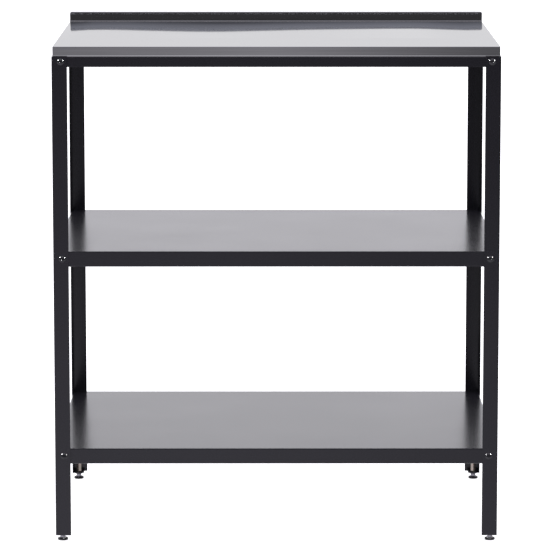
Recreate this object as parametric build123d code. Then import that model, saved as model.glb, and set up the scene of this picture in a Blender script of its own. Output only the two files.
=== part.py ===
from build123d import *
import os
from math import atan2, degrees, sqrt

# The rack stands on the floor at z = 0, with its front towards -y and the worktop up.
# All sizes are in millimetres.

# Whole rack
rack_width = 860.0  # over the outer faces of the legs
rack_depth = 610.0  # over the outer faces of the legs
worktop_height = 967.0  # floor to the worktop
middle_shelf_height = 571.0  # floor to the top of the middle shelf
bottom_shelf_height = 184.0  # floor to the top of the bottom shelf
leg_clearance = 12.0  # floor to the cut ends of the legs

# Legs, each an L folded from sheet
leg_flange = 30.0
leg_sheet = 2.0
leg_bend_inside = 1.0
leg_free_corner = 1.5  # rounding of the flanges' free corners, top and bottom

# Shelves, each a tray with its lips turned down and in
shelf_sheet = 1.2
shelf_lip = 30.0
shelf_return = 10.0
shelf_bend_inside = 0.8
shelf_corner_ease = 0.5  # how much rounder the welded corners are than the folds

# Stiffening rib welded under each shelf
rib_crown = 40.0
rib_height = 20.0
rib_flange = 14.0
rib_sheet = 1.2
rib_bend_inside = 1.0
rib_end_gap = 4.0  # from the rib's end to the shelf's turned-in edge

# Top frame, four folded angles welded into a ring
rail_height = 20.0
rail_flange = 25.0
rail_sheet = 1.5
rail_bend_inside = 1.0
rail_end_gap = 1.5  # from the ring to the side flanges of the legs
rail_notch_gap = 1.0  # under the flange of the crossing rail

# Worktop, folded from stainless sheet with a boxed upstand along the rear
worktop_sheet = 1.0
worktop_lip = 20.0
worktop_return = 15.0
worktop_bend_inside = 0.8
worktop_end_ease = 0.3  # how much tighter the welded ends are than the folds
upstand_height = 20.0
upstand_thickness = 10.0
upstand_cove = 1.5  # hollow rounding at the foot of the upstand
upstand_corner = 4.0  # rounding of its two upper corners

# Stiffening channels between the worktop and its turned-in edge
channel_crown = 50.0
channel_foot = 14.0
channel_sheet = 1.0
channel_bend_inside = 0.8
channel_spacing = 300.0
channel_end_gap = 1.0

# Button-head bolts that hold the top frame and the shelves to the legs
bolt_diameter = 6.0
bolt_length = 12.0
bolt_head_diameter = 13.0
bolt_head_height = 3.4
bolt_head_rim = 0.5
bolt_socket = 4.0  # across flats
bolt_socket_depth = 2.0
bolt_inset = 17.5  # from the side of the rack
bolt_hole_clearance = 0.6  # on the diameter
bolt_nut_flats = 10.0
bolt_nut_height = 5.0

# Screws that hold the worktop down on the top frame
screw_diameter = 5.0
screw_length = 9.0
screw_head_diameter = 8.5
screw_head_height = 2.8
screw_inset = 8.0  # from the outer face of the worktop's lip
screw_spacing = 300.0
screw_hole_clearance = 0.5  # on the diameter
screw_nut_flats = 8.0
screw_nut_height = 4.0

# Levelling feet
tab_width = 22.0  # tongue that carries the foot, rounded at its free end
tab_sheet = 3.0
tab_corner_ease = 0.5  # how much rounder the tongue's corner is than the leg's inside
foot_setback = 18.0  # foot axis from the front or rear face of the leg
stud_diameter = 6.0
stud_top = 40.0  # floor to the end of the stud
stud_hole_clearance = 1.0  # on the diameter, in the tongue
foot_nut_flats = 10.0
foot_nut_height = 18.0  # a long nut
foot_hex_turn = 30.0  # brings a corner of the nut and collar to the front
collar_flats = 10.0
collar_height = 6.0
collar_chamfer = 0.8
spigot_diameter = 5.0
spigot_length = 2.2
spigot_gap = 0.05  # between the spigot and the pad, all round
spigot_end_gap = 0.4
pad_diameter = 20.0
pad_top_diameter = 18.0
pad_height = 4.4
pad_wall = 3.4  # upright part of the pad's rim

# Fits and cuts
thread_gap = 0.05  # between any threaded shank and its nut, all round
mitre_gap = 1.0  # between the turned-in edges where they meet at a corner
mitre_stop = 3.0  # from the end of the mitre to the corner of the lips
cutter_sheets = 4.0  # length of a hole's cutter, in thicknesses of the sheet

# What follows from those sizes
half_width = rack_width / 2
half_depth = rack_depth / 2
inner_half_width = half_width - leg_sheet
inner_half_depth = half_depth - leg_sheet
leg_top = worktop_height - worktop_lip
leg_length = leg_top - leg_clearance
top_frame_bolt_height = leg_top - rail_height / 2
middle_bolt_height = middle_shelf_height - shelf_lip / 2
bottom_bolt_height = bottom_shelf_height - shelf_lip / 2
bolt_hole = bolt_diameter + bolt_hole_clearance
screw_hole = screw_diameter + screw_hole_clearance
foot_inset = leg_sheet + tab_width / 2
tab_top = leg_clearance + tab_sheet

corners = {
    "front_left": (False, False),
    "front_right": (True, False),
    "rear_left": (False, True),
    "rear_right": (True, True),
}


def save(name, *solids):
    shape = solids[0] if len(solids) == 1 else Compound(children=list(solids))
    export_step(shape, os.path.join("parts", name + ".step"))


def moved_to_corner(solid, right, rear):
    # A piece drawn at the front left corner, mirrored to another one
    if right:
        solid = mirror(solid, about=Plane.YZ)
    if rear:
        solid = mirror(solid, about=Plane.XZ)
    return solid


def rounded(face, point, radius):
    return fillet(face.vertices().sort_by_distance(point)[0], radius)


def folded_strip(points, bends, sheet, bend_inside):
    # A sheet's edge-on outline; each bend gives its outer point and its inner point
    face = make_face(Polyline(*points, close=True))
    for outer, inner in bends:
        face = rounded(face, outer, bend_inside + sheet)
        face = rounded(face, inner, bend_inside)
    return face


def angle_section(web, flange, sheet, bend_inside):
    # An L with its outer corner at the origin, the flange along x and the web along y
    points = [(0, 0), (flange, 0), (flange, sheet), (sheet, sheet), (sheet, web), (0, web)]
    return folded_strip(points, [((0, 0), (sheet, sheet))], sheet, bend_inside)


def hat_section(crown, height, flange, sheet, bend_inside):
    # A hat with its crown on y = 0 and its two flanges at y = height
    half = crown / 2
    side = [
        (half, 0),
        (half, height - sheet),
        (half + flange, height - sheet),
        (half + flange, height),
        (half - sheet, height),
        (half - sheet, sheet),
    ]
    points = side + [(-x, y) for x, y in reversed(side)]
    bends = []
    for way in (1, -1):
        bends.append(((way * half, 0), (way * (half - sheet), sheet)))
        bends.append(((way * (half - sheet), height), (way * half, height - sheet)))
    return folded_strip(points, bends, sheet, bend_inside)


def hexagon(flats):
    return RegularPolygon(flats / 2, 6, major_radius=False)


def upright_hole(x, y, z, diameter, sheet):
    # A cutter for a hole through a level sheet
    return Pos(x, y, z) * Cylinder(diameter / 2, cutter_sheets * sheet)


def cross_hole(x, y, z, diameter, sheet):
    # A cutter for a hole through a sheet that faces the front or the rear
    return Pos(x, y, z) * Rot(90, 0, 0) * Cylinder(diameter / 2, cutter_sheets * sheet)


def bolt_places(height):
    # Four places on one level, with the way that each bolt points
    side = half_width - bolt_inset
    front = [Pos(x, -half_depth, height) * Rot(-90, 0, 0) for x in (-side, side)]
    rear = [Pos(x, half_depth, height) * Rot(90, 0, 0) for x in (-side, side)]
    return front + rear


def button_bolt():
    # The shank runs up from z = 0 and the domed head hangs below it
    shank = bolt_diameter / 2
    head = bolt_head_diameter / 2
    outline = [
        (0, -bolt_head_height),
        (0, bolt_length),
        (shank, bolt_length),
        (shank, 0),
        (head, 0),
        (head, -bolt_head_rim),
    ]
    dome = TangentArc((0, -bolt_head_height), (head, -bolt_head_rim), tangent=(1, 0))
    bolt = revolve(Plane.XZ * make_face(Polyline(*outline) + dome), Axis.Z)
    return bolt - Pos(0, 0, -bolt_head_height) * extrude(hexagon(bolt_socket), bolt_socket_depth)


def pan_screw():
    # The shank runs up from z = 0 and the flat head hangs below it
    shank = extrude(Circle(screw_diameter / 2), screw_length)
    head = extrude(Circle(screw_head_diameter / 2), -screw_head_height)
    return shank + head


def hex_nut(flats, height, bore):
    return extrude(hexagon(flats) - Circle(bore / 2), height)


def mitre_slits(width, depth, turned_in, sheet):
    # Slits on the diagonals of a turned-in edge, from inside its mouth almost to the folds
    reach = (turned_in - mitre_stop) * sqrt(2) + mitre_gap
    slit = Box(reach, mitre_gap, cutter_sheets * sheet)
    slit = Pos(reach / 2 - mitre_gap, 0, 0) * slit
    slits = []
    for way_x in (1, -1):
        for way_y in (1, -1):
            turn = degrees(atan2(way_y, way_x))
            corner_x = way_x * (width / 2 - turned_in)
            corner_y = way_y * (depth / 2 - turned_in)
            slits.append(Pos(corner_x, corner_y, 0) * Rot(0, 0, turn) * slit)
    return slits


def make_leg():
    section = angle_section(leg_flange, leg_flange, leg_sheet, leg_bend_inside)
    leg = extrude(section, leg_length)
    free_corners = leg.edges().filter_by(Axis.Y).group_by(Axis.X)[-1]
    free_corners += leg.edges().filter_by(Axis.X).group_by(Axis.Y)[-1]
    leg = fillet(free_corners, leg_free_corner)
    leg = Pos(-half_width, -half_depth, leg_clearance) * leg
    for height in (top_frame_bolt_height, middle_bolt_height, bottom_bolt_height):
        leg -= cross_hole(bolt_inset - half_width, -half_depth, height, bolt_hole, leg_sheet)
    return leg


def make_shelf(height):
    width = 2 * inner_half_width
    depth = 2 * inner_half_depth
    bend = shelf_bend_inside + shelf_sheet
    corner = bend + shelf_corner_ease
    outer = extrude(RectangleRounded(width, depth, corner), shelf_lip)
    outer = fillet(outer.edges().filter_by(Axis.Z, reverse=True), bend)
    inner_face = RectangleRounded(width - 2 * shelf_sheet, depth - 2 * shelf_sheet, corner - shelf_sheet)
    inner = extrude(inner_face, shelf_lip - 2 * shelf_sheet)
    inner = fillet(inner.edges().filter_by(Axis.Z, reverse=True), shelf_bend_inside)
    mouth = Rectangle(width - 2 * shelf_return, depth - 2 * shelf_return)
    tray = outer - Pos(0, 0, shelf_sheet) * inner - extrude(mouth, shelf_sheet)
    tray -= mitre_slits(width, depth, shelf_return, shelf_sheet)
    tray = Pos(0, 0, height - shelf_lip) * tray
    for x in (bolt_inset - half_width, half_width - bolt_inset):
        for y in (-inner_half_depth, inner_half_depth):
            tray -= cross_hole(x, y, height - shelf_lip / 2, bolt_hole, shelf_sheet)
    return tray


def make_rib(height):
    length = 2 * (inner_half_width - shelf_return - rib_end_gap)
    section = hat_section(rib_crown, rib_height, rib_flange, rib_sheet, rib_bend_inside)
    rib = extrude(Plane.YZ * section, length / 2, both=True)
    return Pos(0, 0, height - shelf_sheet - rib_height) * rib


def make_front_rail():
    length = 2 * (inner_half_width - rail_end_gap)
    section = angle_section(rail_height, rail_flange, rail_sheet, rail_bend_inside)
    rail = extrude(Plane.YZ * mirror(section, about=Plane.XZ), length / 2, both=True)
    rail = Pos(0, -inner_half_depth, leg_top) * rail
    for x in (bolt_inset - half_width, half_width - bolt_inset):
        rail -= cross_hole(x, -inner_half_depth, top_frame_bolt_height, bolt_hole, rail_sheet)
    for x in front_screw_columns:
        rail -= upright_hole(x, screw_inset - inner_half_depth, leg_top, screw_hole, rail_sheet)
    return rail


def make_left_rail():
    # The web butts on the webs of the front and rear rails, the flange on their flanges
    web_half = inner_half_depth - rail_sheet
    flange_half = inner_half_depth - rail_flange
    section = angle_section(rail_height, rail_flange, rail_sheet, rail_bend_inside)
    rail = extrude(Plane.XZ * mirror(section, about=Plane.XZ), web_half, both=True)
    notch_depth = rail_bend_inside + rail_sheet + rail_notch_gap
    notch = Box(
        rail_flange,
        web_half - flange_half,
        notch_depth,
        align=(Align.MIN, Align.MIN, Align.MAX),
    )
    rail = rail - Pos(0, flange_half, 0) * notch - Pos(0, -web_half, 0) * notch
    rail = Pos(rail_end_gap - inner_half_width, 0, leg_top) * rail
    return rail - upright_hole(screw_inset - inner_half_width, 0, leg_top, screw_hole, rail_sheet)


def worktop_side(inset):
    # The worktop's outline seen from the side, drawn in from its skin by the inset
    front = inset - inner_half_depth
    rear = inner_half_depth - inset
    upstand_front = inner_half_depth - upstand_thickness + inset
    skin = worktop_lip - inset
    top = worktop_lip + upstand_height - inset
    outline = [
        (front, inset),
        (front, skin),
        (upstand_front, skin),
        (upstand_front, top),
        (rear, top),
        (rear, inset),
    ]
    bend = worktop_bend_inside + worktop_sheet - inset
    face = make_face(Polyline(*outline, close=True))
    for corner in ((front, inset), (front, skin), (rear, inset)):
        face = rounded(face, corner, bend)
    return rounded(face, (upstand_front, skin), upstand_cove + inset)


def worktop_body(inset):
    # That outline along the worktop, with the upper corners of its upstand rounded
    body = extrude(Plane.YZ * worktop_side(inset), inner_half_width - inset, both=True)
    corner_edges = body.edges().filter_by(Axis.Y).group_by(Axis.Z)[-1]
    return fillet(corner_edges, upstand_corner - inset)


def make_worktop():
    outer = worktop_body(0)
    top_edges = outer.edges().filter_by(Axis.X).group_by(Axis.Z)[-1]
    # The rounding runs on from these edges round both ends
    outer = fillet(top_edges, worktop_bend_inside + worktop_sheet - worktop_end_ease)
    inner = worktop_body(worktop_sheet)
    mouth_width = 2 * (inner_half_width - worktop_return)
    mouth_depth = 2 * (inner_half_depth - worktop_return)
    worktop = outer - inner - extrude(Rectangle(mouth_width, mouth_depth), worktop_sheet)
    worktop -= mitre_slits(2 * inner_half_width, 2 * inner_half_depth, worktop_return, worktop_sheet)
    worktop = Pos(0, 0, leg_top) * worktop
    for x, y in screw_places:
        worktop -= upright_hole(x, y, leg_top, screw_hole, worktop_sheet)
    return worktop


def make_channel(x):
    height = worktop_lip - 2 * worktop_sheet
    half_length = inner_half_depth - worktop_sheet - channel_end_gap
    section = hat_section(channel_crown, height, channel_foot, channel_sheet, channel_bend_inside)
    channel = extrude(Plane.XZ * mirror(section, about=Plane.XZ), half_length, both=True)
    return Pos(x, 0, leg_top + worktop_lip - worktop_sheet) * channel


def make_tab():
    # A tongue that fills the leg's corner, with its rounded end about the foot's axis
    reach = foot_setback - leg_sheet
    face = Pos(tab_width / 2, reach / 2) * Rectangle(tab_width, reach)
    face += Pos(tab_width / 2, reach) * Circle(tab_width / 2)
    face = rounded(face, (0, 0), leg_bend_inside + tab_corner_ease)
    tab = Pos(-inner_half_width, -inner_half_depth, leg_clearance) * extrude(face, tab_sheet)
    hole = upright_hole(0, 0, tab_top, stud_diameter + stud_hole_clearance, tab_sheet)
    return tab - foot_axis * hole


def make_stud():
    # A threaded rod with a hexagon collar and a spigot that turns in the pad
    rod = stud_diameter / 2
    collar_top = pad_height + collar_height
    outline = [
        (0, pad_height - spigot_length),
        (spigot_diameter / 2, pad_height - spigot_length),
        (spigot_diameter / 2, pad_height),
        (rod, pad_height),
        (rod, stud_top),
        (0, stud_top),
    ]
    turned = revolve(Plane.XZ * make_face(Polyline(*outline, close=True)), Axis.Z)
    cone = collar_flats / 2 + 2 * collar_chamfer
    cone_outline = [
        (0, pad_height),
        (cone, pad_height),
        (cone, collar_top - collar_chamfer),
        (collar_flats / 2, collar_top),
        (0, collar_top),
    ]
    cone_body = revolve(Plane.XZ * make_face(Polyline(*cone_outline, close=True)), Axis.Z)
    collar = Pos(0, 0, pad_height) * Rot(0, 0, foot_hex_turn) * extrude(hexagon(collar_flats), collar_height)
    return foot_axis * (turned + (collar & cone_body))


def make_pad():
    socket = spigot_diameter / 2 + spigot_gap
    socket_floor = pad_height - spigot_length - spigot_end_gap
    outline = [
        (0, 0),
        (pad_diameter / 2, 0),
        (pad_diameter / 2, pad_wall),
        (pad_top_diameter / 2, pad_height),
        (socket, pad_height),
        (socket, socket_floor),
        (0, socket_floor),
    ]
    return foot_axis * revolve(Plane.XZ * make_face(Polyline(*outline, close=True)), Axis.Z)


# Places that several pieces share
foot_axis = Pos(foot_inset - half_width, foot_setback - half_depth, 0)
front_screw_columns = (-screw_spacing, 0, screw_spacing)
screw_places = [(x, screw_inset - inner_half_depth) for x in front_screw_columns]
screw_places += [(x, inner_half_depth - screw_inset) for x in front_screw_columns]
screw_places += [(screw_inset - inner_half_width, 0), (inner_half_width - screw_inset, 0)]

os.makedirs("parts", exist_ok=True)

# Legs and levelling feet, one of each at every corner
leg = make_leg()
tab = make_tab()
stud = make_stud()
pad = make_pad()
foot_nut = hex_nut(foot_nut_flats, foot_nut_height, stud_diameter + 2 * thread_gap)
foot_nut = foot_axis * Pos(0, 0, tab_top) * Rot(0, 0, foot_hex_turn) * foot_nut
for corner_name, (right, rear) in corners.items():
    save("leg_" + corner_name, moved_to_corner(leg, right, rear))
    save("foot_tab_" + corner_name, moved_to_corner(tab, right, rear))
    save("foot_nut_" + corner_name, moved_to_corner(foot_nut, right, rear))
    save("foot_stud_" + corner_name, moved_to_corner(stud, right, rear))
    save("foot_pad_" + corner_name, moved_to_corner(pad, right, rear))

# Shelves and their ribs
save("middle_shelf", make_shelf(middle_shelf_height))
save("middle_shelf_rib", make_rib(middle_shelf_height))
save("bottom_shelf", make_shelf(bottom_shelf_height))
save("bottom_shelf_rib", make_rib(bottom_shelf_height))

# Top frame
front_rail = make_front_rail()
left_rail = make_left_rail()
save("top_rail_front", front_rail)
save("top_rail_rear", mirror(front_rail, about=Plane.XZ))
save("top_rail_left", left_rail)
save("top_rail_right", mirror(left_rail, about=Plane.YZ))

# Worktop and its channels
save("worktop", make_worktop())
save("worktop_channel_left", make_channel(-channel_spacing / 2))
save("worktop_channel_right", make_channel(channel_spacing / 2))

# Bolts and nuts on each level, with the thickness of sheet that each nut stands behind
bolt = button_bolt()
bolt_nut = hex_nut(bolt_nut_flats, bolt_nut_height, bolt_diameter + 2 * thread_gap)
bolt_levels = {
    "top_frame": (top_frame_bolt_height, leg_sheet + rail_sheet),
    "middle_shelf": (middle_bolt_height, leg_sheet + shelf_sheet),
    "bottom_shelf": (bottom_bolt_height, leg_sheet + shelf_sheet),
}
for level, (height, grip) in bolt_levels.items():
    places = bolt_places(height)
    save(level + "_bolts", *[place * bolt for place in places])
    save(level + "_nuts", *[place * Pos(0, 0, grip) * bolt_nut for place in places])

# Screws that come up through the top frame into nuts on the worktop's turned-in edge
screw = pan_screw()
screw_nut = hex_nut(screw_nut_flats, screw_nut_height, screw_diameter + 2 * thread_gap)
save("worktop_screws", *[Pos(x, y, leg_top - rail_sheet) * screw for x, y in screw_places])
save("worktop_nuts", *[Pos(x, y, leg_top + worktop_sheet) * screw_nut for x, y in screw_places])
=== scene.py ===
import math
import bpy
from mathutils import Matrix, Vector


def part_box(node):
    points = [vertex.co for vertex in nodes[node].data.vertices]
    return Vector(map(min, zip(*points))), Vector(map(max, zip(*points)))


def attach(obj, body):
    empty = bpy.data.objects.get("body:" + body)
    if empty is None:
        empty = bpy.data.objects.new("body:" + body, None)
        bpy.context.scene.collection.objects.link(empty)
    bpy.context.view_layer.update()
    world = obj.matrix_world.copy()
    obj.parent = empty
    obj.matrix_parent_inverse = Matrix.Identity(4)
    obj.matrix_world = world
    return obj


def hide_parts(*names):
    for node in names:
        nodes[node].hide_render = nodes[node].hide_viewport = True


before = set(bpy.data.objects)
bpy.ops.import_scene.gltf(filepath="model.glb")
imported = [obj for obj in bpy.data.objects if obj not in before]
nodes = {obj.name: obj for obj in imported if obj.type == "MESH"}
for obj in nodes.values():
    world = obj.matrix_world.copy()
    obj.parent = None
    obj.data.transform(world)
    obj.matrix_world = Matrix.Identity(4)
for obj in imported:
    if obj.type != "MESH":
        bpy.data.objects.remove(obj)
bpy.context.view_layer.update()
cornerNames = ("front_left", "front_right", "rear_left", "rear_right")
print("frame loaded,", len(nodes), "nodes")

scene = bpy.context.scene
scene.view_settings.view_transform = "Standard"  # keeps the white surroundings white
white = (1, 1, 1, 1)


# Shorthand for building the finishes
noiseMiddle = (0.3, 0.7)  # most of a noise lies between these
edgeMatch = (0.98, 0.75)  # how well the eased normal fits the flat one where an edge starts and is full
edgeSamples = 4


def newFinish(name):
    finish = bpy.data.materials.new(name)
    finish.use_nodes = True
    tree = finish.node_tree
    return finish, tree, tree.nodes["Principled BSDF"]


def setInputs(tree, node, inputs):
    for socket, value in inputs.items():
        if isinstance(value, bpy.types.NodeSocket):
            tree.links.new(value, node.inputs[socket])
        else:
            node.inputs[socket].default_value = value


def addNode(tree, kind, inputs=None, **settings):
    node = tree.nodes.new(kind)
    for setting, value in settings.items():
        setattr(node, setting, value)
    setInputs(tree, node, inputs or {})
    return node


def placeOn(tree, stretch=(1, 1, 1)):
    place = addNode(tree, "ShaderNodeTexCoord").outputs["Object"]
    return addNode(tree, "ShaderNodeMapping", {"Vector": place, "Scale": stretch}).outputs["Vector"]


def noiseOn(tree, place, scale, detail=2.0, rough=0.5):
    inputs = {"Vector": place, "Scale": scale, "Detail": detail, "Roughness": rough}
    return addNode(tree, "ShaderNodeTexNoise", inputs).outputs["Fac"]


def remap(tree, value, fromLow, fromHigh, toLow, toHigh):
    inputs = {"Value": value, "From Min": fromLow, "From Max": fromHigh, "To Min": toLow, "To Max": toHigh}
    return addNode(tree, "ShaderNodeMapRange", inputs).outputs["Result"]


def spread(tree, noise, low, high):
    return remap(tree, noise, *noiseMiddle, low, high)


def combine(tree, operation, first, second):
    return addNode(tree, "ShaderNodeMath", {0: first, 1: second}, operation=operation).outputs["Value"]


def bandOf(tree, height, start, full, fade, end):
    rising = remap(tree, height, start, full, 0.0, 1.0)
    return combine(tree, "MULTIPLY", rising, remap(tree, height, fade, end, 1.0, 0.0))


def blendColours(tree, amount, first, second):
    mix = addNode(tree, "ShaderNodeMix", data_type="RGBA")
    setInputs(tree, mix, {0: amount, 6: first, 7: second})  # by number, the names repeat for each type
    return mix.outputs[2]


def bumpFrom(tree, height, depth, under=None):
    inputs = {"Height": height, "Distance": depth, "Strength": 1.0}
    if under:
        inputs["Normal"] = under
    return addNode(tree, "ShaderNodeBump", inputs).outputs["Normal"]


def rampOf(tree, value, steps):
    ramp = addNode(tree, "ShaderNodeValToRGB", {"Fac": value})
    stops = ramp.color_ramp.elements
    stops.remove(stops[1])
    for index, (position, level) in enumerate(steps):
        stop = stops[0] if index == 0 else stops.new(position)
        stop.position = position
        stop.color = (*level, 1) if isinstance(level, tuple) else (level, level, level, 1)
    return ramp


def softEdges(tree, radius):
    return addNode(tree, "ShaderNodeBevel", {"Radius": radius}, samples=edgeSamples).outputs["Normal"]


def edgeMask(tree, soft):
    flat = addNode(tree, "ShaderNodeNewGeometry").outputs["Normal"]
    match = addNode(tree, "ShaderNodeVectorMath", {0: soft, 1: flat}, operation="DOT_PRODUCT")
    return remap(tree, match.outputs["Value"], *edgeMatch, 0.0, 1.0)


# Satin black powder coat on the legs, shelves, top frame and foot tongues
powderCoat = {
    "colour": (0.0100, 0.0092, 0.0128, 1),
    "thinCoat": (0.0190, 0.0182, 0.0230, 1),  # where the coat runs thin, on edges and specks
    "ior": 1.5,
    "rough": (0.155, 0.175),
    "settled": 0.062,  # added to the roughness of faces that look up, where the powder settles
    "lookingUp": (0.6, 0.95),  # upward part of the normal where that starts and is full
    "cloudSize": 5.0,
    "cloudThin": 0.2,
    "speckSize": 700.0,
    "speckThin": (0.45, 0.8, 0.0, 0.5),
    "peelSize": 380.0,
    "peelDepth": 0.000012,
    "edge": 0.0009,
}


def makePowderCoat(look):
    finish, tree, shader = newFinish("satinBlackPowderCoat")
    place = placeOn(tree)
    cloud = noiseOn(tree, place, look["cloudSize"], detail=3.0)
    speck = noiseOn(tree, place, look["speckSize"], detail=1.0)
    peel = noiseOn(tree, place, look["peelSize"], detail=1.5)
    soft = softEdges(tree, look["edge"])
    specks = remap(tree, speck, *look["speckThin"])
    thin = combine(tree, "ADD", specks, spread(tree, cloud, 0.0, look["cloudThin"]))
    thin = combine(tree, "MAXIMUM", thin, edgeMask(tree, soft))
    flat = addNode(tree, "ShaderNodeNewGeometry").outputs["Normal"]
    facing = addNode(tree, "ShaderNodeSeparateXYZ", {0: flat})
    settled = remap(tree, facing.outputs["Z"], *look["lookingUp"], 0.0, look["settled"])
    setInputs(tree, shader, {
        "Base Color": blendColours(tree, thin, look["colour"], look["thinCoat"]),
        "Roughness": combine(tree, "ADD", spread(tree, cloud, *look["rough"]), settled),
        "Normal": bumpFrom(tree, peel, look["peelDepth"], soft),
        "IOR": look["ior"],
    })
    return finish


# Brushed stainless sheet of the worktop, a little wavy as folded sheet is
stainless = {
    "colour": (0.60, 0.60, 0.582, 1),
    "streakColour": (0.50, 0.50, 0.485, 1),
    "edgeTint": (0.70, 0.706, 0.69, 1),
    "rough": (0.055, 0.030),  # in the dark streaks and in the light ones
    "streaks": (4.0, 400.0, 400.0),  # long along the worktop, fine across it
    "streakDepth": 0.0000007,
    "span": 0.43,  # half of the worktop's length
    # slope of the sheet towards the rear, from its left end to its right end, as a part of the steepest
    "sag": ((0.0, 0.36), (0.06, 0.65), (0.17, 0.53), (0.35, 0.27), (0.53, 0.57), (0.67, 0.65), (0.84, 0.85),
            (0.94, 0.48), (1.0, 0.60)),
    "steepest": 0.018,
    "sagStart": -0.12,  # in front of this line the sheet is flat
    "upstandHeight": 0.0200,
    "sheetMargin": 0.00005,  # heights on the upstand count from just above the sheet
    "upstandLean": 0.030,
    "upstandCurl": 1.3,  # the lean grows by this for each metre of height
    "paintedCornerShade": (0.16, 0.157, 0.16, 1),  # painted shade in the corner at the foot of the upstand, which also dims the cove's reflection
    "paintedShadeBand": (0.0, 0.0001, 0.0006, 0.0015),  # heights where the painted shade starts, is full, thins out and ends
    "rubSize": (520.0, 40.0, 900.0),  # short rubbed dashes along the top of the upstand
    "rubSpread": (0.48, 0.62),
    "rubBand": (0.0138, 0.0146, 0.0168, 0.0176),
    "rubRough": 0.28,
}


def makeStainless(look):
    finish, tree, shader = newFinish("brushedStainlessSheet")
    streak = noiseOn(tree, placeOn(tree, look["streaks"]), 1.0, detail=3.0, rough=0.6)
    where = addNode(tree, "ShaderNodeSeparateXYZ", {0: placeOn(tree)})
    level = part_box("worktop")[1].z - look["upstandHeight"] + look["sheetMargin"]
    above = combine(tree, "SUBTRACT", where.outputs["Z"], level)
    colour = blendColours(tree, spread(tree, streak, 0.0, 1.0), look["streakColour"], look["colour"])
    # painted shade: the base colour darkens in the corner at the foot of the upstand
    colour = blendColours(tree, bandOf(tree, above, *look["paintedShadeBand"]), colour, look["paintedCornerShade"])

    along = remap(tree, where.outputs["X"], -look["span"], look["span"], 0.0, 1.0)
    sag = rampOf(tree, along, look["sag"])
    sag.color_ramp.interpolation = "B_SPLINE"
    slope = remap(tree, sag.outputs["Color"], 0.0, 1.0, -look["steepest"], look["steepest"])
    behind = combine(tree, "SUBTRACT", where.outputs["Y"], look["sagStart"])
    sagHeight = combine(tree, "MULTIPLY", combine(tree, "MAXIMUM", behind, 0.0), slope)
    height = combine(tree, "MAXIMUM", above, 0.0)
    lean = combine(tree, "MULTIPLY", height, look["upstandCurl"])
    lean = combine(tree, "ADD", lean, look["upstandLean"])
    leanDepth = combine(tree, "MULTIPLY", height, lean)
    normal = bumpFrom(tree, combine(tree, "SUBTRACT", sagHeight, leanDepth), 1.0)

    rub = noiseOn(tree, placeOn(tree, look["rubSize"]), 1.0, detail=1.0)
    dashes = remap(tree, rub, *look["rubSpread"], 0.0, look["rubRough"])
    dashes = combine(tree, "MULTIPLY", dashes, bandOf(tree, above, *look["rubBand"]))
    setInputs(tree, shader, {
        "Base Color": colour,
        "Roughness": combine(tree, "ADD", spread(tree, streak, *look["rough"]), dashes),
        "Normal": bumpFrom(tree, streak, look["streakDepth"], normal),
        "Metallic": 1.0,
        "Specular Tint": look["edgeTint"],
    })
    return finish


# Zinc plate: bright on the studs and screws, with yellow and rosy passivation on the nuts in the tongues
brightZinc = {
    "name": "brightZincPlate",
    "colour": (0.36, 0.36, 0.37, 1),
    "warm": (0.28, 0.265, 0.27, 1),
    "cool": (0.20, 0.205, 0.215, 1),
    "warmSpread": (0.52, 0.68, 0.0, 0.8),
    "coolSpread": (0.44, 0.30, 0.0, 0.6),
    "bandSize": 220.0,
    "grainSize": 2600.0,
    "grainDepth": 0.000004,
    "rough": (0.12, 0.24),
}
yellowZinc = {
    **brightZinc,
    "name": "yellowZincPlate",
    "colour": (0.50, 0.455, 0.385, 1),
    "warm": (0.62, 0.42, 0.35, 1),
    "cool": (0.48, 0.49, 0.34, 1),
    "bandSize": 260.0,
    "rough": (0.14, 0.26),
}


def makeZinc(look):
    finish, tree, shader = newFinish(look["name"])
    place = placeOn(tree)
    band = noiseOn(tree, place, look["bandSize"], detail=1.0)
    grain = noiseOn(tree, place, look["grainSize"])
    colour = blendColours(tree, remap(tree, band, *look["warmSpread"]), look["colour"], look["warm"])
    setInputs(tree, shader, {
        "Base Color": blendColours(tree, remap(tree, band, *look["coolSpread"]), colour, look["cool"]),
        "Roughness": spread(tree, grain, *look["rough"]),
        "Normal": bumpFrom(tree, grain, look["grainDepth"]),
        "Metallic": 1.0,
    })
    return finish


# Glossy black plating of the button-head bolts
boltBlack = {
    "colour": (0.010, 0.010, 0.011, 1),
    "worn": (0.045, 0.044, 0.043, 1),  # on the rims that a key and a thumb touch
    "wornSpread": (0.35, 0.65, 0.2, 1.0),
    "ior": 1.6,
    "rough": (0.06, 0.10),
    "grainSize": 1500.0,
    "edge": 0.0004,
}


def makeBoltBlack(look):
    finish, tree, shader = newFinish("glossyBlackBolts")
    grain = noiseOn(tree, placeOn(tree), look["grainSize"])
    rubbed = edgeMask(tree, softEdges(tree, look["edge"]))
    wear = combine(tree, "MULTIPLY", rubbed, remap(tree, grain, *look["wornSpread"]))
    setInputs(tree, shader, {
        "Base Color": blendColours(tree, wear, look["colour"], look["worn"]),
        "Roughness": spread(tree, grain, *look["rough"]),
        "IOR": look["ior"],
    })
    return finish


# Black moulded plastic of the foot pads
padPlastic = {
    "colour": (0.017, 0.016, 0.018, 1),
    "scuff": (0.052, 0.051, 0.054, 1),
    "scuffSpread": (0.4, 0.7, 0.0, 1.0),
    "rough": (0.34, 0.46),
    "grainSize": 1800.0,
    "grainDepth": 0.00002,
    "edge": 0.0006,
}


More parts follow.
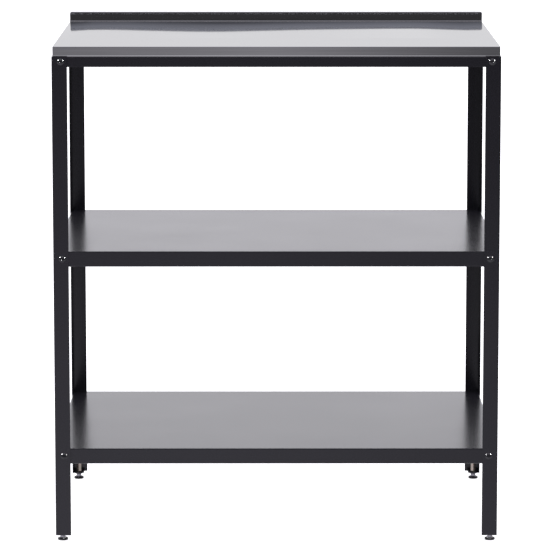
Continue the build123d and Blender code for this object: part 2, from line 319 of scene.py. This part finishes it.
def makePadPlastic(look):
    finish, tree, shader = newFinish("mouldedBlackPlastic")
    grain = noiseOn(tree, placeOn(tree), look["grainSize"])
    rubbed = edgeMask(tree, softEdges(tree, look["edge"]))
    scuff = combine(tree, "MULTIPLY", rubbed, remap(tree, grain, *look["scuffSpread"]))
    setInputs(tree, shader, {
        "Base Color": blendColours(tree, scuff, look["colour"], look["scuff"]),
        "Roughness": spread(tree, grain, *look["rough"]),
        "Normal": bumpFrom(tree, grain, look["grainDepth"]),
    })
    return finish


# Galvanised sheet of the channels under the worktop, with its spangle
galvanised = {
    "light": (0.58, 0.60, 0.62, 1),
    "dark": (0.40, 0.42, 0.44, 1),
    "spangleSize": 95.0,
    "rough": (0.30, 0.48),
    "dustSize": 900.0,
    "dustDepth": 0.000008,
}


def makeGalvanised(look):
    finish, tree, shader = newFinish("galvanisedSpangle")
    place = placeOn(tree)
    flake = addNode(tree, "ShaderNodeTexVoronoi", {"Vector": place, "Scale": look["spangleSize"]})
    shade = addNode(tree, "ShaderNodeSeparateColor", {"Color": flake.outputs["Color"]}).outputs["Red"]
    dust = noiseOn(tree, place, look["dustSize"])
    setInputs(tree, shader, {
        "Base Color": blendColours(tree, shade, look["dark"], look["light"]),
        "Roughness": remap(tree, shade, 0.0, 1.0, *look["rough"]),
        "Normal": bumpFrom(tree, dust, look["dustDepth"]),
        "Metallic": 1.0,
    })
    return finish


coatFinish = makePowderCoat(powderCoat)
stainlessFinish = makeStainless(stainless)
zincFinish = makeZinc(brightZinc)
nutFinish = makeZinc(yellowZinc)
boltFinish = makeBoltBlack(boltBlack)
padFinish = makePadPlastic(padPlastic)
galvanisedFinish = makeGalvanised(galvanised)
print("finishes made")

coated = ("leg_", "foot_tab_", "top_rail_", "middle_shelf", "bottom_shelf")
for name, piece in nodes.items():
    finish = stainlessFinish
    if name.startswith("worktop_channel"):
        finish = galvanisedFinish
    elif name.startswith(coated):
        finish = coatFinish
    piece.data.materials.clear()
    piece.data.materials.append(finish)
print("sheet metal dressed")


# Turned and hexagon pieces, skinned from rings of points round an axis
ringSides = 36
roundSteps = 4  # in a quarter of a circle
sharpAngle = math.radians(32)
threadGap = 0.00005  # between a shank and its nut
screwThread = {
    "rows": 8,  # rings in one turn
    "flank": 1.3,
    "crest": 0.15,
    "depth": 0.6,  # in pitches
}
hexCut = {
    "face": 0.475,  # radius of the turned face, in widths over the flats
    "angle": 30.0,
    "bevel": 0.0004,  # at both mouths of a nut's bore
}


def hexReach(flats):
    def reach(angle):
        return flats / 2 / math.cos(angle % (math.pi / 3) - math.pi / 6)
    return reach


def ringAt(radius, height):
    points = []
    for step in range(ringSides):
        angle = 2 * math.pi * step / ringSides
        reach = radius(angle) if callable(radius) else radius
        rise = height(angle) if callable(height) else height
        points.append(Vector((reach * math.cos(angle), reach * math.sin(angle), rise)))
    return points


def skinRings(rings, looped=False):
    points = [point for ring in rings for point in ring]
    faces = []
    for span in range(len(rings) if looped else len(rings) - 1):
        low = span * ringSides
        high = (span + 1) % len(rings) * ringSides
        for step in range(ringSides):
            after = (step + 1) % ringSides
            faces.append((low + step, low + after, high + after, high + step))
    if not looped:
        faces.append(tuple(reversed(range(ringSides))))
        faces.append(tuple(range(len(points) - ringSides, len(points))))
    return points, faces


def roundedRim(outer, bend, bottom):
    rings = []
    for step in range(roundSteps + 1):
        turn = math.pi / 2 * step / roundSteps
        rings.append(ringAt(outer - bend * (1 - math.sin(turn)), bottom + bend * (1 - math.cos(turn))))
    return rings


def threadRings(bottom, top, radius, pitch):
    turnRows = screwThread["rows"]
    rows = round((top - bottom) / pitch * turnRows)
    rings = []
    for row in range(rows + 1):
        height = bottom + (top - bottom) * row / rows
        fade = min(1.0, row / turnRows, (rows - row) / turnRows)  # runs out over the first and last turn

        def reach(angle):
            phase = (height / pitch - angle / (2 * math.pi)) % 1
            groove = screwThread["flank"] * abs(2 * phase - 1) - screwThread["crest"]
            return radius - screwThread["depth"] * pitch * min(1.0, max(0.0, groove)) * fade
        rings.append(ringAt(reach, height))
    return rings


def hexSides(flats):
    hexagon = hexReach(flats)
    face = hexCut["face"] * flats
    slope = math.tan(math.radians(hexCut["angle"]))
    return hexagon, face, lambda angle: (hexagon(angle) - face) * slope


def hexNut(flats, height, shank):
    hexagon, face, drop = hexSides(flats)
    bore = shank / 2 + threadGap
    bevel = hexCut["bevel"]
    return skinRings([
        ringAt(face, 0),
        ringAt(hexagon, drop),
        ringAt(hexagon, lambda angle: height - drop(angle)),
        ringAt(face, height),
        ringAt(bore + bevel, height),
        ringAt(bore, height - bevel),
        ringAt(bore, bevel),
        ringAt(bore + bevel, 0),
    ], looped=True)


glintGroups = {kind: bpy.data.collections.new(kind) for kind in ("bolts", "feet")}


def layOut(name, skin, places, finish, body, slot, node):
    points, faces = [], []
    for place in places:
        start = len(points)
        points += [place @ point for point in skin[0]]
        faces += [[start + corner for corner in face] for face in skin[1]]
    mesh = bpy.data.meshes.new(name)
    mesh.from_pydata(points, [], faces)
    mesh.polygons.foreach_set("use_smooth", [True] * len(faces))
    mesh.set_sharp_from_angle(angle=sharpAngle)
    mesh.materials.append(finish)
    piece = bpy.data.objects.new(name, mesh)
    scene.collection.objects.link(piece)
    if slot != "foot_pad_plastic":  # the pads are too dull for a glint
        kind = "feet" if node.startswith("foot_") else "bolts"
        glintGroups[kind].objects.link(piece)
    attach(piece, body)
    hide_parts(node)


# Button-head bolts and their nuts, on three levels
buttonBolt = {
    "head": 0.0130,
    "headHeight": 0.0034,
    "rim": 0.0005,
    "socket": 0.0040,
    "socketDepth": 0.0020,
    "socketBevel": 0.0002,
    # radius and depth of the drilled bottom of the socket
    "socketBowl": ((0.0001, 0.00104), (0.0008, 0.00074), (0.0014, 0.00042), (0.0020, 0.0)),
    "domeStart": 0.0030,  # radius, just outside the socket's mouth
    "domeSteps": 7,
    "shank": 0.0060,
    "length": 0.0120,
    "threadStart": 0.0060,
    "pitch": 0.0010,
    "point": 0.0006,
    "nutFlats": 0.0100,
    "nutHeight": 0.0050,
}


def makeButtonBolt(size):
    head, shank = size["head"] / 2, size["shank"] / 2
    rise = size["headHeight"] - size["rim"]
    dome = (head ** 2 + rise ** 2) / (2 * rise)  # radius of the dome

    def domeAt(radius):
        return dome - math.sqrt(dome ** 2 - radius ** 2) - size["headHeight"]
    socket = hexReach(size["socket"])
    mouth = hexReach(size["socket"] + 2 * size["socketBevel"])
    socketFloor = size["socketDepth"] - size["headHeight"]
    rings = [ringAt(radius, socketFloor + depth) for radius, depth in size["socketBowl"]]
    rings += [
        ringAt(socket, socketFloor),
        ringAt(socket, lambda angle: domeAt(mouth(angle)) + size["socketBevel"]),
        ringAt(mouth, lambda angle: domeAt(mouth(angle))),
    ]
    for step in range(size["domeSteps"] + 1):
        radius = size["domeStart"] + (head - size["domeStart"]) * step / size["domeSteps"]
        rings.append(ringAt(radius, domeAt(radius)))
    rimBevel = size["rim"] / 3
    rings += [ringAt(head, -rimBevel), ringAt(head - rimBevel, 0), ringAt(shank, 0)]
    rings += threadRings(size["threadStart"], size["length"] - size["point"], shank, size["pitch"])
    rings.append(ringAt(shank - size["point"], size["length"]))
    return skinRings(rings)


def onBothFaces(x, front, rear, z):
    spots = []
    for y, turn in ((front, -90), (rear, 90)):
        spots.append(Matrix.Translation((x, y, z)) @ Matrix.Rotation(math.radians(turn), 4, "X"))
    return spots


boltSkin = makeButtonBolt(buttonBolt)
boltNutSkin = hexNut(buttonBolt["nutFlats"], buttonBolt["nutHeight"], buttonBolt["shank"])
boltEdge = buttonBolt["head"] / 2
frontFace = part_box("leg_front_left")[0].y
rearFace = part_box("leg_rear_left")[1].y
for level in ("top_frame", "middle_shelf", "bottom_shelf"):
    low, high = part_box(level + "_bolts")
    nutLow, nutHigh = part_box(level + "_nuts")
    boltSpots, nutSpots = [], []
    for x in (low.x + boltEdge, high.x - boltEdge):
        boltSpots += onBothFaces(x, frontFace, rearFace, (low.z + high.z) / 2)
        nutSpots += onBothFaces(x, nutLow.y, nutHigh.y, (low.z + high.z) / 2)
    layOut(level + "_button_bolts", boltSkin, boltSpots, boltFinish, "frame", "black_bolts",
           level + "_bolts")
    layOut(level + "_hex_nuts", boltNutSkin, nutSpots, zincFinish, "frame", "zinc_plate", level + "_nuts")
print("bolts and nuts made")


# Pan-head screws that come up through the top frame, and the nuts inside the worktop
panScrew = {
    "head": 0.0085,
    "headHeight": 0.0028,
    "round": 0.0009,
    "socket": 0.0030,
    "socketDepth": 0.0015,
    "shank": 0.0050,
    "length": 0.0090,
    "threadStart": 0.0030,
    "pitch": 0.0008,
    "point": 0.0005,
    "nutFlats": 0.0080,
    "nutHeight": 0.0040,
    "columns": (-0.3, 0.0, 0.3),
}


def makePanScrew(size):
    head, shank, tall = size["head"] / 2, size["shank"] / 2, size["headHeight"]
    socket = hexReach(size["socket"])
    rings = [ringAt(socket, size["socketDepth"] - tall), ringAt(socket, -tall)]
    rings += roundedRim(head, size["round"], -tall)
    rings += [ringAt(head, 0), ringAt(shank, 0)]
    rings += threadRings(size["threadStart"], size["length"] - size["point"], shank, size["pitch"])
    rings.append(ringAt(shank - size["point"], size["length"]))
    return skinRings(rings)


screwSkin = makePanScrew(panScrew)
screwNutSkin = hexNut(panScrew["nutFlats"], panScrew["nutHeight"], panScrew["shank"])
low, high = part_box("worktop_screws")
seat = low.z + panScrew["headHeight"]
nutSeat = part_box("worktop_nuts")[0].z
screwEdge = panScrew["head"] / 2
spots = [(x, y) for x in panScrew["columns"] for y in (low.y + screwEdge, high.y - screwEdge)]
spots += [(low.x + screwEdge, 0), (high.x - screwEdge, 0)]
screwSpots = [Matrix.Translation((x, y, seat)) for x, y in spots]
nutSpots = [Matrix.Translation((x, y, nutSeat)) for x, y in spots]
layOut("worktop_pan_screws", screwSkin, screwSpots, zincFinish, "frame", "zinc_plate", "worktop_screws")
layOut("worktop_hex_nuts", screwNutSkin, nutSpots, zincFinish, "frame", "zinc_plate", "worktop_nuts")
print("worktop screws made")


# Levelling feet: threaded stud with a hexagon collar, plastic pad, and the nut on the tongue
foot = {
    "rod": 0.0060,
    "pitch": 0.0010,
    "point": 0.0008,
    "undercut": 0.92,  # of the rod, under its thread
    "threadStart": 0.0005,  # above the collar
    "collarFlats": 0.0100,
    "collarHeight": 0.0060,
    "spigot": 0.0050,
    "spigotBevel": 0.0003,
    "spigotGap": 0.0004,  # under the spigot's end
    "pad": 0.0200,
    "padTop": 0.0180,
    "padWall": 0.0034,
    "padRound": 0.0007,
    # out and up from the wall's end and from the rim of the top, in padRounds
    "padShoulder": ((0.0, -0.5), (-0.15, 0.0), (-0.5, 0.5)),
    "padBrim": ((0.4, -0.45), (0.0, -0.12), (-0.6, 0.0)),
    "padSocket": 0.0051,
    "nutFlats": 0.0100,
    "hexTurn": 30.0,  # a corner of the nut and collar to the front
}


def makeStud(size, spigotEnd, padTop, top):
    rod, spigot = size["rod"] / 2, size["spigot"] / 2
    collarTop = padTop + size["collarHeight"]
    hexagon, face, drop = hexSides(size["collarFlats"])
    rings = [
        ringAt(spigot - size["spigotBevel"], spigotEnd),
        ringAt(spigot, spigotEnd + size["spigotBevel"]),
        ringAt(spigot, padTop),
        ringAt(face, padTop),
        ringAt(hexagon, lambda angle: padTop + drop(angle)),
        ringAt(hexagon, lambda angle: collarTop - drop(angle)),
        ringAt(face, collarTop),
        ringAt(rod * size["undercut"], collarTop),
    ]
    rings += threadRings(collarTop + size["threadStart"], top - size["point"], rod, size["pitch"])
    rings.append(ringAt(rod - size["point"], top))
    return skinRings(rings)


def makePad(size, top, socketFloor):
    outer, brim, socket = size["pad"] / 2, size["padTop"] / 2, size["padSocket"] / 2
    bend = size["padRound"]
    rings = roundedRim(outer, bend, 0)
    rings += [ringAt(outer + bend * out, size["padWall"] + bend * up) for out, up in size["padShoulder"]]
    rings += [ringAt(brim + bend * out, top + bend * up) for out, up in size["padBrim"]]
    rings += [ringAt(socket, top), ringAt(socket, socketFloor)]
    return skinRings(rings)


hexTurn = Matrix.Rotation(math.radians(foot["hexTurn"]), 4, "Z")
for corner in cornerNames:
    studLow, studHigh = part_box("foot_stud_" + corner)
    padLow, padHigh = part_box("foot_pad_" + corner)
    nutLow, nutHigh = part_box("foot_nut_" + corner)
    axis = (studLow + studHigh) / 2
    upright = [Matrix.Translation((axis.x, axis.y, 0)) @ hexTurn]
    onTongue = [Matrix.Translation((axis.x, axis.y, nutLow.z)) @ hexTurn]
    studSkin = makeStud(foot, studLow.z, padHigh.z, studHigh.z)
    padSkin = makePad(foot, padHigh.z, studLow.z - foot["spigotGap"])
    nutSkin = hexNut(foot["nutFlats"], nutHigh.z - nutLow.z, foot["rod"])
    layOut("threaded_stud_" + corner, studSkin, upright, zincFinish, "foot_stud_" + corner, "zinc_plate",
           "foot_stud_" + corner)
    layOut("moulded_pad_" + corner, padSkin, upright, padFinish, "foot_pad_" + corner, "foot_pad_plastic",
           "foot_pad_" + corner)
    layOut("tongue_nut_" + corner, nutSkin, onTongue, nutFinish, "frame", "zinc_plate",
           "foot_nut_" + corner)
print("levelling feet made")


# White paper floor, lit from below so that it stays pale under the rack
paperFloor = {
    "half": 40.0,
    "light": (0.86, 0.86, 0.86, 1),
    "dark": (0.83, 0.83, 0.835, 1),
    "fibreSize": 60.0,
    "rough": 0.9,
    "glow": 0.90,
}


def makeFloor(look):
    finish, tree, shader = newFinish("whitePaper")
    fibre = noiseOn(tree, placeOn(tree), look["fibreSize"], detail=4.0)
    setInputs(tree, shader, {
        "Base Color": blendColours(tree, fibre, look["dark"], look["light"]),
        "Roughness": look["rough"],
        "Emission Color": white,
        "Emission Strength": look["glow"],
    })
    half = look["half"]
    points = [(-half, -half, 0), (half, -half, 0), (half, half, 0), (-half, half, 0)]
    mesh = bpy.data.meshes.new("paper_floor")
    mesh.from_pydata(points, [], [(0, 1, 2, 3)])
    mesh.materials.append(finish)
    floor = bpy.data.objects.new("paper_floor", mesh)
    scene.collection.objects.link(floor)
    floor.visible_glossy = False  # the surround lights the rack from below, dimmer towards the camera
    floor.visible_diffuse = False
    for corner in cornerNames:  # the floor drops with the lowest pad as a foot is screwed out
        under = floor.constraints.new("FLOOR")
        under.target = bpy.data.objects["moulded_pad_" + corner]
        under.floor_location = "FLOOR_NEGATIVE_Z"


makeFloor(paperFloor)


# White studio round the back and sides, darker towards the camera; brightness by degrees above the horizon
surround = {
    "front": ((-90, 0.85), (-20, 0.95), (-13, 0.95), (-11.5, 0.91), (-10.2, 0.85), (-9.2, 0.68),
              (-8.2, 0.50), (-7, 0.38), (-5.5, 0.29), (-3.8, 0.26), (-2.6, 0.16), (-1.5, 0.06), (0, 0.05),
              (4.5, 0.055), (6.8, 0.06), (8, (0.10, 0.105, 0.116)), (8.7, (0.18, 0.188, 0.208)),
              (9.5, (0.27, 0.282, 0.312)), (11, (0.39, 0.408, 0.45)), (13.2, (0.49, 0.512, 0.565)),
              (30, 0.30), (90, 1.40)),
    "back": ((-90, 1.0), (0, 1.04), (5.2, 1.05), (7.2, 1.28), (8.5, 1.36), (10.4, 1.225), (11.5, 1.17),
             (20, 1.12), (90, 1.4)),
    "turn": (-0.25, 0.25),  # where the front gives way to the back
    # brightness of the front from left to right
    "across": ((0.0, 0.80), (0.15, 0.90), (0.32, 1.05), (0.5, 1.20), (0.68, 0.80), (0.81, 0.50),
               (1.0, 0.38)),
    "acrossHalf": 0.1,
    "evenBelow": (-0.13, -0.20, 0.0, 0.55),  # nearer the floor both sides are alike
    "evenAbove": (-0.03, 0.0, 0.0, 1.0),  # and above the horizon
    "tint": (0.985, 0.975, 1.03),
    "frontTint": (1.0, 0.985, 1.06),
}


def byHeight(tree, height, steps):
    steps = [((math.sin(math.radians(up)) + 1) / 2, level) for up, level in steps]
    return rampOf(tree, height, steps).outputs["Color"]


def times(tree, light, by):
    return addNode(tree, "ShaderNodeVectorMath", {0: light, 1: by}, operation="MULTIPLY").outputs["Vector"]


def makeSurround(look):
    world = bpy.data.worlds.new("whiteStudio")
    world.use_nodes = True
    scene.world = world
    tree = world.node_tree
    way = addNode(tree, "ShaderNodeTexCoord").outputs["Generated"]
    way = addNode(tree, "ShaderNodeSeparateXYZ", {0: way})
    height = remap(tree, way.outputs["Z"], -1, 1, 0, 1)
    across = remap(tree, way.outputs["X"], -look["acrossHalf"], look["acrossHalf"], 0, 1)
    even = combine(tree, "MAXIMUM", remap(tree, way.outputs["Z"], *look["evenBelow"]),
                   remap(tree, way.outputs["Z"], *look["evenAbove"]))
    dim = blendColours(tree, even, rampOf(tree, across, look["across"]).outputs["Color"], white)
    front = times(tree, byHeight(tree, height, look["front"]), dim)
    front = times(tree, front, look["frontTint"])
    back = byHeight(tree, height, look["back"])
    behind = remap(tree, way.outputs["Y"], *look["turn"], 0, 1)
    light = times(tree, blendColours(tree, behind, front, back), look["tint"])
    seen = addNode(tree, "ShaderNodeLightPath").outputs["Is Camera Ray"]  # plain white behind the rack
    setInputs(tree, tree.nodes["Background"], {"Color": blendColours(tree, seen, light, white)})


makeSurround(surround)

# Small softboxes that only put the glints on the bolts and the feet
softbox = {
    "size": (0.5, 0.7),
    "power": 200.0,
    "aim": (0, 0, 0.55),
    "places": {
        "bolts": ((-2.9, -0.9, 2.5), (2.9, -0.9, 2.5)),
        "feet": ((-2.4, -2.3, 2.0), (2.7, -1.9, 1.6)),
    },
}
for kind, places in softbox["places"].items():
    for side, place in zip(("left", "right"), places):
        name = "softbox_" + kind + "_" + side
        lamp = bpy.data.lights.new(name, "AREA")
        lamp.shape = "RECTANGLE"
        lamp.size, lamp.size_y = softbox["size"]
        lamp.energy = softbox["power"]
        holder = bpy.data.objects.new(name, lamp)
        holder.location = place
        holder.rotation_mode = "QUATERNION"
        holder.rotation_quaternion = (Vector(softbox["aim"]) - holder.location).to_track_quat("-Z", "Y")
        holder.visible_camera = False
        holder.visible_diffuse = False
        holder.light_linking.receiver_collection = glintGroups[kind]
        scene.collection.objects.link(holder)
print("studio set")

# Long lens from above the worktop, square to the front
viewpoint = {
    "place": (-0.0087, -6.9809, 1.5492),
    "tiltDown": 8.7511,
    "swing": -0.0848,
    "lens": 227.72,
    "sensor": 36.0,
    "reach": 200.0,
}
camera = bpy.data.objects.new("front_camera", bpy.data.cameras.new("front_camera"))
camera.data.lens = viewpoint["lens"]
camera.data.sensor_width = viewpoint["sensor"]
camera.data.clip_end = viewpoint["reach"]
camera.location = viewpoint["place"]
camera.rotation_euler = (math.radians(90 - viewpoint["tiltDown"]), 0, math.radians(viewpoint["swing"]))
scene.collection.objects.link(camera)
scene.camera = camera
print("camera set")
